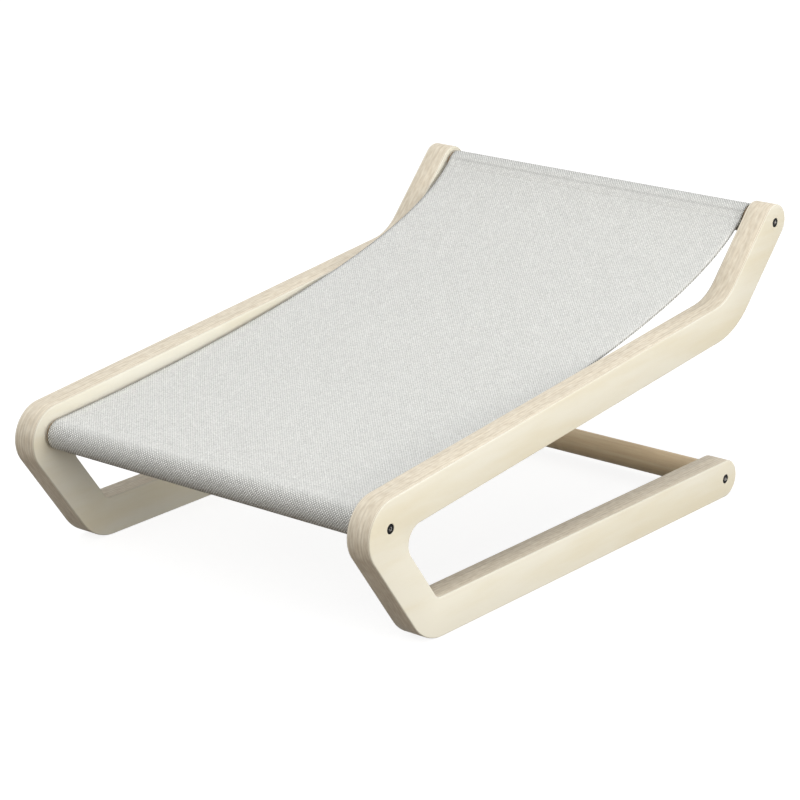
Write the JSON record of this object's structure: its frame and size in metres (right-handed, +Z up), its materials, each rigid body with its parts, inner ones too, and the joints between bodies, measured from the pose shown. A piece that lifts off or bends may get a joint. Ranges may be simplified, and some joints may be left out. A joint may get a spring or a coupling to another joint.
{
  "type": "cat recliner",
  "caption": "Low lounger for a cat: a woven cloth sling with a raised head end, hung between two plywood side frames tied by round wooden cross bars.",
  "frame": {"origin": "on the floor, in the middle of the object's width and depth", "axes": "+X to the object's right side frame as seen from its front, +Y from the low front end towards the raised head end, +Z up"},
  "size_m": [0.4, 0.604, 0.266],
  "materials": {
    "plywood": "clear matt lacquer on birch plywood, edges softly rounded",
    "dowel_wood": "clear matt lacquer on turned birch",
    "sling_cloth": "light grey heathered twill",
    "black_steel": "black oxide",
    "brass": "plain turned brass"
  },
  "bodies": {
    "root": {"left_side_frame": "plywood", "right_side_frame": "plywood", "front_dowel": "dowel_wood", "head_dowel": "dowel_wood", "rear_stretcher": "dowel_wood", "sling": "sling_cloth", "screw_left_front": "black_steel", "screw_left_head": "black_steel", "screw_left_rear": "black_steel", "screw_right_front": "black_steel", "screw_right_head": "black_steel", "screw_right_rear": "black_steel", "insert_left_front": "brass", "insert_left_head": "brass", "insert_left_rear": "brass", "insert_right_front": "brass", "insert_right_head": "brass", "insert_right_rear": "brass"}
  },
  "joints": []
}
